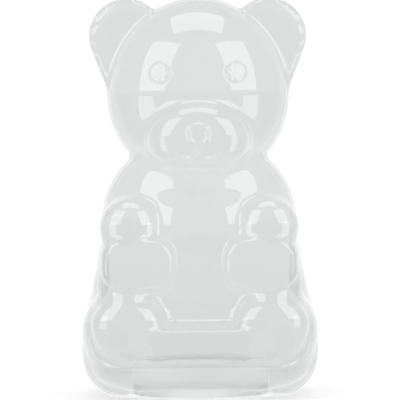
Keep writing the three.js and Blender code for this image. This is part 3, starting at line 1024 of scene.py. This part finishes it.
class BEARJAR_OT_shells(bpy.types.Operator):
    """Models the front and the back shell of the bear"""

    bl_idname = "bearjar.shells"
    bl_label = "Front and back shell"

    def execute(self, context):
        shell = sizes().shell
        outer = bear_blank()
        settle(outer, 0.0, steps=8)
        relax(outer, rounds=3)
        apply_modifier(outer, "SUBSURF", levels=1, render_levels=1)
        settle(outer, 0.0)
        refine_face(outer)
        settle(outer, 0.0, steps=2)
        skin_points = read_points(outer.data.vertices, "co")
        inner = copy_piece(outer, "jar_lining")
        settle(inner, shell.wall / MM, steps=6)
        raise_face(outer, skin_points)
        raise_face(inner, skin_points)
        edit(inner, bpy.ops.mesh.flip_normals)
        hollow = join_pieces([outer, inner], "jar_hollow")
        self.add_socket(hollow)
        back = copy_piece(hollow, "jar_back")
        rename(hollow, "jar_front")
        self.cut_at_seam(hollow, -1)
        self.cut_at_seam(back, 1)
        finish_piece(hollow, "jar", "front_shell", clear_plastic())
        finish_piece(back, "jar", "back_shell", clear_plastic())
        return {"FINISHED"}

    def add_socket(self, hollow):
        """Adds the round socket in the underside and cuts the hole for the mouth ring."""
        shell = sizes().shell
        hole = RING_HIGH.x + sizes().closure.fit
        outside = hole + shell.socket_wall
        inside = hole - shell.socket_wall / 2
        foot = 0.85 * shell.wall
        top = shell.socket_top
        socket = spin_profile("socket", [(inside, foot), (outside, foot), (outside, top), (inside, top)])
        boolean(hollow, socket, "UNION")
        drill = add_new(
            bpy.ops.mesh.primitive_cylinder_add, vertices=ROUND_STEPS, radius=hole, depth=4 * top)
        boolean(hollow, drill, "DIFFERENCE")

    def cut_at_seam(self, piece, side):
        """Keeps one side of the seam and closes the rim."""
        gap = sizes().shell.seam_gap
        edit_all(piece)
        bpy.ops.mesh.bisect(
            plane_co=(0, seam_y() + side * gap / 2, 0), plane_no=(0, side, 0), use_fill=False,
            clear_inner=True, clear_outer=False)
        select_open_edges()
        bpy.ops.mesh.fill(use_beauty=True)
        close_outward()


class BEARJAR_OT_mouth_ring(bpy.types.Operator):
    """Models the threaded ring in the underside"""

    bl_idname = "bearjar.mouth_ring"
    bl_label = "Mouth ring"

    def execute(self, context):
        closure = sizes().closure
        outside = RING_HIGH.x
        bore = outside - closure.ring_wall
        top = RING_HIGH.z
        shoulder = top - closure.shoulder
        ring = spin_profile("mouth_ring", [
            (bore, RING_LOW.z), (outside, RING_LOW.z), (outside, top),
            (closure.mouth_radius, top), (closure.mouth_radius, shoulder), (bore, shoulder)])
        round_edges(ring, closure.edge_round)
        pitch = closure.thread_lead / closure.thread_starts
        height = LID_LOW.z + closure.thread_height - pitch / 2
        add_thread(ring, bore + THREAD_SINK, bore - closure.thread_depth, height)
        finish_piece(ring, "jar", "neck_ring", lid_plastic(), turned=True)
        return {"FINISHED"}


class BEARJAR_OT_seal_ring(bpy.types.Operator):
    """Models the soft ring that seals the lid"""

    bl_idname = "bearjar.seal_ring"
    bl_label = "Seal ring"

    def execute(self, context):
        closure = sizes().closure
        inside = closure.mouth_radius - SPIGOT_PLAY + closure.fit
        outside = SEAL_HIGH.x
        seal = spin_profile("seal_ring", [
            (inside, SEAL_LOW.z), (outside, SEAL_LOW.z), (outside, SEAL_HIGH.z), (inside, SEAL_HIGH.z)])
        round_edges(seal, 1.2 * closure.edge_round)
        finish_piece(seal, "seal", "lid_seal", seal_silicone(), turned=True)
        return {"FINISHED"}


class BEARJAR_OT_screw_lid(bpy.types.Operator):
    """Models the recessed lid with its finger grip"""

    bl_idname = "bearjar.screw_lid"
    bl_label = "Screw lid"

    def execute(self, context):
        closure = sizes().closure
        radius = LID_HIGH.x - closure.thread_depth
        bore = radius - closure.lid_wall
        spigot = closure.mouth_radius - SPIGOT_PLAY
        top = SEAL_LOW.z - closure.fit
        plate = top - closure.lid_plate
        spigot_top = RING_HIGH.z - closure.shoulder + 2 * closure.fit
        lid = spin_profile("lid_cup", [
            (0, plate), (bore, plate), (bore, LID_LOW.z), (radius, LID_LOW.z),
            (radius, top), (spigot, top), (spigot, spigot_top), (0, spigot_top)])
        round_edges(lid, closure.edge_round)
        boolean(lid, self.grip_bar(bore, plate), "UNION")
        add_thread(lid, radius - THREAD_SINK, LID_HIGH.x, LID_LOW.z + closure.thread_height)
        finish_piece(lid, "lid", "screw_lid", lid_plastic(), turned=True)
        return {"FINISHED"}

    def grip_bar(self, bore, plate):
        """Bar across the recess for two fingers."""
        closure = sizes().closure
        low = LID_LOW.z + GRIP_FOOT
        high = plate + GRIP_SINK
        reach = bore + GRIP_SINK
        bar = add_new(bpy.ops.mesh.primitive_cube_add, size=1.0, location=(0, 0, (low + high) / 2))
        bar.name = "grip_bar"
        bpy.ops.transform.resize(value=(2 * reach, closure.grip_thick, high - low))
        apply_place(bar)
        round_edges(bar, 4 * closure.edge_round, segments=5)
        return bar


class BEARJAR_OT_stage(bpy.types.Operator):
    """Sets the floor, the lamps, the room and the camera"""

    bl_idname = "bearjar.stage"
    bl_label = "Stage"

    def execute(self, context):
        stage = sizes().stage
        context.scene.view_settings.view_transform = "Standard"
        self.add_camera(stage)
        self.add_floor(stage)
        self.add_room(stage)
        for side in (-1, 1):
            self.add_softbox(KEY_BOX, side, stage.key_radiance)
            self.add_softbox(LOW_BOX, side, stage.low_radiance)
        self.add_softbox(TOP_BOX, 1, stage.top_radiance)
        return {"FINISHED"}

    def add_camera(self, stage):
        """Camera in front of the jar, framed for a square picture."""
        back = Vector((0, -math.cos(stage.elevation), math.sin(stage.elevation)))
        right = Vector((1, 0, 0))
        up = back.cross(right)
        aim = Vector((stage.aim_right, seam_y(), stage.aim_height))
        level = Matrix((right, up, back)).transposed().to_4x4()
        camera = add_new(bpy.ops.object.camera_add)
        turn = Matrix.Rotation(-stage.roll, 4, "Z")
        camera.matrix_world = Matrix.Translation(aim + back * stage.distance) @ level @ turn
        camera.data.sensor_width = SENSOR_WIDTH
        camera.data.lens = SENSOR_WIDTH * stage.distance / stage.frame_width
        camera.data.clip_end = FAR_CLIP
        bpy.context.scene.camera = camera

    def add_softbox(self, box, side, radiance):
        """Flat lamp that looks at the jar, hidden from the camera and from light passed through the jar."""
        turn = math.radians(side * box.azimuth)
        lift = math.radians(box.elevation)
        way = Vector((math.sin(turn) * math.cos(lift), -math.cos(turn) * math.cos(lift), math.sin(lift)))
        aim = Vector((0, seam_y(), LAMP_AIM_Z))
        lamp = add_new(bpy.ops.object.light_add, type="AREA", location=aim + way * box.distance)
        lamp.name = box.name
        lamp.rotation_euler = way.to_track_quat("Z", "Y").to_euler()
        lamp.data.shape = "RECTANGLE"
        lamp.data.size = box.width
        lamp.data.size_y = box.height
        lamp.data.energy = radiance * math.pi * box.width * box.height
        lamp.visible_camera = False
        lamp.visible_transmission = False

    def add_room(self, stage):
        """White room, dimmer on the camera's side, and plain white to the camera."""
        world = bpy.data.worlds.new("white_room")
        bpy.context.scene.world = world
        world.use_nodes = True
        tree = world.node_tree
        shader = tree.nodes["Background"]
        path = tree.nodes.new("ShaderNodeLightPath").outputs
        place = tree.nodes.new("ShaderNodeTexCoord")
        plain = larger(tree, path["Is Camera Ray"], path["Diffuse Depth"])
        seen = self.backdrop(tree, place.outputs["Generated"], stage)
        set_inputs(shader, Color=CLEAN_WHITE, Strength=larger(tree, seen, plain))

    def backdrop(self, tree, way, stage):
        """Brightness of the room in a direction: white behind the jar, grey on the camera's side."""
        level = vector_math(tree, "NORMALIZE", way).outputs["Vector"]
        split = add_node(tree, "ShaderNodeSeparateXYZ", Vector=level)
        return fade(tree, split.outputs["Y"], GREY_UNTIL, WHITE_FROM, stage.front_grey, 1.0)

    def add_floor(self, stage):
        """Pale floor that keeps the jar's shadow, lightened by a painted glow, and runs out into plain white.
        """
        floor = add_new(bpy.ops.mesh.primitive_plane_add, size=FLOOR_SIZE, location=(0, 0, -FLOOR_DROP))
        floor.name = "floor"
        apply_place(floor)
        floor.data.materials.append(self.floor_material(stage))

    def floor_material(self, stage):
        """Matt near the jar with a white glow mixed in as painted light in its shadow, plain white to the eye
        further out, and clear from below.
        """
        material = bpy.data.materials.new("pale_floor")
        material.use_nodes = True
        tree = material.node_tree
        tree.nodes.clear()
        path = tree.nodes.new("ShaderNodeLightPath").outputs
        place = tree.nodes.new("ShaderNodeTexCoord").outputs["Object"]
        away = vector_math(tree, "LENGTH", place).outputs["Value"]
        ahead = vector_math(tree, "ADD", place, MIRROR_SHIFT).outputs["Vector"]
        # Seen through the jar the near floor glows grey, a painted shade lighter than its real shadow.
        through = fade(tree, away, THROUGH_NEAR, THROUGH_FAR, stage.through_grey, 1.0)
        mirrored = self.backdrop(tree, ahead, stage)
        seen = add_node(tree, "ShaderNodeMix", Factor=path["Is Reflection Ray"], A=through, B=mirrored)
        glow = larger(tree, seen.outputs["Result"], path["Is Camera Ray"])
        # Light gathered from the floor also meets this glow, which lights the jar's underside as painted
        # light.
        looked = larger(tree, path["Is Glossy Ray"], path["Is Transmission Ray"])
        looked = larger(tree, looked, path["Diffuse Depth"])
        # Painted light: near the jar a white glow is mixed into the matt floor's shadow.
        plain = fade(tree, away, SHADOW_UNTIL, PLAIN_FROM, stage.shadow_light, 1.0)
        plain = product(tree, plain, path["Is Camera Ray"])
        matt = add_node(tree, "ShaderNodeBsdfDiffuse", Color=FLOOR_TONE).outputs["BSDF"]
        white = add_node(tree, "ShaderNodeEmission", Color=CLEAN_WHITE, Strength=glow).outputs["Emission"]
        clear = tree.nodes.new("ShaderNodeBsdfTransparent").outputs["BSDF"]
        facing = tree.nodes.new("ShaderNodeNewGeometry").outputs
        top = mix_shaders(tree, larger(tree, looked, plain), matt, white)
        surface = mix_shaders(tree, facing["Backfacing"], top, clear)
        add_node(tree, "ShaderNodeOutputMaterial", Surface=surface)
        return material


class BearJarSettings(bpy.types.PropertyGroup):
    """All settings of the jar."""

    shell: PointerProperty(type=ShellSizes)
    closure: PointerProperty(type=ClosureSizes)
    finish: PointerProperty(type=Finishes)
    stage: PointerProperty(type=StageSettings)


class BEARJAR_PT_panel(bpy.types.Panel):
    """Lists the jar's pieces in the sidebar"""

    bl_idname = "BEARJAR_PT_panel"
    bl_label = "Bear Jar"
    bl_space_type = "VIEW_3D"
    bl_region_type = "UI"
    bl_category = "Bear Jar"

    def draw(self, context):
        for operator in OPERATORS:
            self.layout.operator(operator.bl_idname)


OPERATORS = (
    BEARJAR_OT_shells, BEARJAR_OT_mouth_ring, BEARJAR_OT_seal_ring, BEARJAR_OT_screw_lid, BEARJAR_OT_stage)
CLASSES = (
    ShellSizes, ClosureSizes, Finishes, StageSettings, BearJarSettings, *OPERATORS, BEARJAR_PT_panel)


def register():
    """Registers the classes and the scene's settings."""
    for kind in CLASSES:
        bpy.utils.register_class(kind)
    bpy.types.Scene.bear_jar = PointerProperty(type=BearJarSettings)


def unregister():
    """Takes the settings and the classes out again."""
    del bpy.types.Scene.bear_jar
    for kind in reversed(CLASSES):
        bpy.utils.unregister_class(kind)


def main():
    """Builds the jar piece by piece."""
    register()
    bpy.ops.bearjar.shells()
    bpy.ops.bearjar.mouth_ring()
    bpy.ops.bearjar.seal_ring()
    bpy.ops.bearjar.screw_lid()
    bpy.ops.bearjar.stage()


if __name__ == "__main__":
    main()
